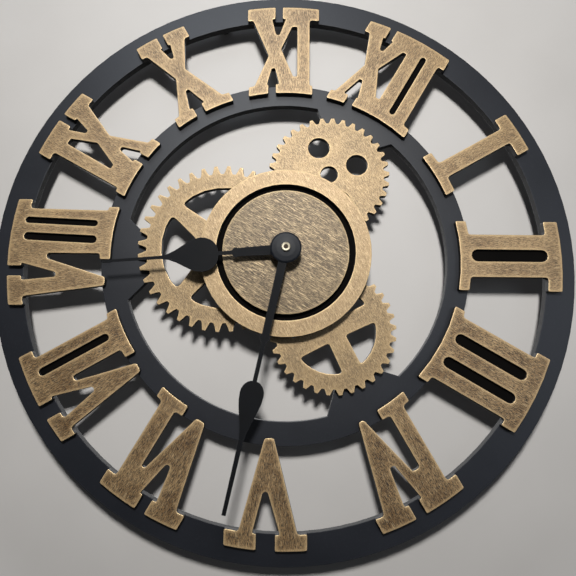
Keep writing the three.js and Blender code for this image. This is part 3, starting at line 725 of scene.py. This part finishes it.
def slot_shade_floor(name, outline, front):
    """A thin closed plate that fills an outline, with its front face at y = front."""
    middle = Vector((sum(x for x, z in outline), 0, sum(z for x, z in outline))) / len(outline)
    points = [Vector((x, 0, z)) for x, z in outline]
    points = [point + (point - middle).normalized() * FLOOR_LAP for point in points]
    count = len(points)
    levels = [Vector((0, front, 0)), Vector((0, front + FLOOR_THICKNESS, 0))]
    corners = [point + level for level in levels for point in points]
    sides = [(i + count, (i + 1) % count + count, (i + 1) % count, i) for i in range(count)]
    faces = [tuple(range(count)), tuple(range(2 * count - 1, count - 1, -1))] + sides
    mesh = bpy.data.meshes.new(name)
    mesh.from_pydata(corners, [], faces)
    piece = bpy.data.objects.new(name, mesh)
    bpy.context.scene.collection.objects.link(piece)
    # Painted shade: a near-black floor that keeps the slot dark.
    piece.data.materials.append(recess_shade_black)
    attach(piece, "clock")
    print(name, "with", count, "corners")


for hour, found in slots.items():
    low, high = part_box(f"numeral_{hour}")
    depth = low.y + (high.y - low.y) * FLOOR_DEPTH
    for number, outline in enumerate(found, 1):
        slot_shade_floor(f"slot_shade_floor_{hour}_{number}", outline, depth)

# %% [markdown]
# ## The wall
#
# The clock hangs close in front of a plain pale wall, which takes its shadows. Further out the
# light falls off and lit paint would go grey, so there the paint fades into an even glow of
# the colour that the lit part has. Only the camera, reflections and glass see the glow, so it
# is no lamp: the paint of the clock isn't lit by it. The wall hides itself from behind, so
# that the back of the clock can be looked at too.

# %% A wall that only shows from the front
NEAR_WALL = rgb(198, 196, 194)
NEAR_WALL_CLOUDS = rgb(206, 204, 202)
FAR_WALL = rgb(208, 207, 205)
DIAL_CENTRE = (0.0, -0.017, AXIS_HEIGHT)
FADE_START = 0.26
FADE_END = 0.55
WALL_HALF = 1.6


def seen_rays(pen, gloss_share):
    """1 for camera rays and rays through glass, and the given share for reflections."""
    camera_ray = pen.tap("ShaderNodeLightPath", output="Is Camera Ray")
    glossy_ray = pen.tap("ShaderNodeLightPath", output="Is Glossy Ray")
    glass_ray = pen.tap("ShaderNodeLightPath", output="Is Transmission Ray")
    return camera_ray + glossy_ray * gloss_share + glass_ray


def wall_paint(name):
    material, tree, surface = empty_material(name)
    pen = Flow(tree, None)
    place = pen.tap("ShaderNodeTexCoord", output="Object")
    cloud = blotches(place, size=0.12, detail=5.0)
    colour = cloud.between(0.3, 0.7).blend(NEAR_WALL, NEAR_WALL_CLOUDS)
    rough = cloud.between(0.2, 0.8, 0.55, 0.65)
    paint = pen.tap("ShaderNodeBsdfPrincipled", None, {"Base Color": colour, "Roughness": rough})
    glow = pen.tap("ShaderNodeEmission", None, {"Color": FAR_WALL})
    distance = (place - DIAL_CENTRE).length()
    fade = distance.between(FADE_START, FADE_END) * seen_rays(pen, 1.0)
    even = pen.tap("ShaderNodeMixShader", None, {0: fade, 1: paint, 2: glow})
    clear = pen.tap("ShaderNodeBsdfTransparent")
    behind = pen.tap("ShaderNodeNewGeometry", output="Backfacing")
    shown = pen.tap("ShaderNodeMixShader", None, {0: behind, 1: even, 2: clear})
    pen.plug(shown, surface)
    return material


wall_sides = [(-1, -1), (1, -1), (1, 1), (-1, 1)]
wall_corners = [(x * WALL_HALF, 0, z * WALL_HALF) for x, z in wall_sides]
wall_mesh = bpy.data.meshes.new("wall")
wall_mesh.from_pydata(wall_corners, [], [(0, 1, 2, 3)])
wall_mesh.materials.append(wall_paint("wall_paint"))
wall = bpy.data.objects.new("wall", wall_mesh)
bpy.context.scene.collection.objects.link(wall)
wall.visible_shadow = False
print("wall faces", wall_mesh.polygons[0].normal[:])

# %% [markdown]
# ## The light
#
# The layers of the clock read by their shadows, which are dark and fairly crisp, so the key
# light is small and stands above and to the left of the camera. The black rings have a bluish
# sheen that is strong at the upper left and gone at the foot. Two wide lamps give that sheen.
# As plain light they would fill the shadows, so diffuse surfaces don't see them. A fourth
# lamp stands behind the wall, for looking at the back.
#
# The room is dim, and the camera sees it in the wall's colour where the wall ends. Reflections
# see a share of that colour, because with all of it the foot of the rings came out too pale.

# %% Lamps
COOL = (0.84, 0.91, 1.0)


def lamp(name, place, size, power, colour=(1.0, 1.0, 1.0), gloss_only=False):
    """A round area lamp that is aimed at the middle of the dial."""
    light = bpy.data.lights.new(name, "AREA")
    light.shape = "DISK"
    light.size = size
    light.energy = power
    light.color = colour
    holder = bpy.data.objects.new(name, light)
    holder.location = place
    aim = Vector(DIAL_CENTRE) - Vector(place)
    holder.rotation_euler = aim.to_track_quat("-Z", "Y").to_euler()
    holder.visible_diffuse = not gloss_only
    bpy.context.scene.collection.objects.link(holder)
    print(name, "lamp of", power, "W at", round(aim.length, 2), "m")


lamp("key", (-0.139, -0.667, 0.195), size=0.12, power=5.2, colour=(1.0, 0.98, 0.95))
lamp("sheen", (-0.52, -0.7, 0.54), size=0.5, power=4.6, colour=COOL, gloss_only=True)
lamp("side", (0.48, -0.7, 0.28), size=0.5, power=1.5, colour=COOL, gloss_only=True)
lamp("back", (-0.4, 1.0, 0.4), size=1.0, power=30.0)

# %% The room
DIM_ROOM = (0.025, 0.026, 0.028, 1.0)
ROOM_GLOSS_SHARE = 0.15

world = bpy.data.worlds.new("room")
world.use_nodes = True
bpy.context.scene.world = world
sky = Flow(world.node_tree, None)
room = seen_rays(sky, ROOM_GLOSS_SHARE).blend(DIM_ROOM, FAR_WALL)
sky.plug(room, world.node_tree.nodes["Background"].inputs["Color"])
print("room with", len(world.node_tree.nodes), "nodes")

# %% [markdown]
# ## The camera
#
# The photo was taken close up with a wide lens, a little to the right of the hands and below
# them, and with the camera turned, so that twelve points to the upper right.

# %% Camera
CAMERA_PLACE = Vector((0.03887, -0.34123, -0.10314))
CAMERA_AIM = Vector((0.01303, -0.01700, -0.05516))
CAMERA_ROLL = math.radians(30.883)
SENSOR_MM = 36.0
LENS_MM = 30.0
NEAREST_SEEN = 0.01

lens = bpy.data.cameras.new("camera")
lens.sensor_width = SENSOR_MM
lens.lens = LENS_MM
lens.clip_start = NEAREST_SEEN
camera = bpy.data.objects.new("camera", lens)
bpy.context.scene.collection.objects.link(camera)
turn = (CAMERA_AIM - CAMERA_PLACE).to_track_quat("-Z", "Y").to_matrix().to_4x4()
roll = Matrix.Rotation(CAMERA_ROLL, 4, "Z")
camera.matrix_world = Matrix.Translation(CAMERA_PLACE) @ turn @ roll
bpy.context.scene.camera = camera
bpy.context.scene.view_settings.view_transform = "Standard"
print("camera", round((CAMERA_AIM - CAMERA_PLACE).length, 3), "m from its aim")
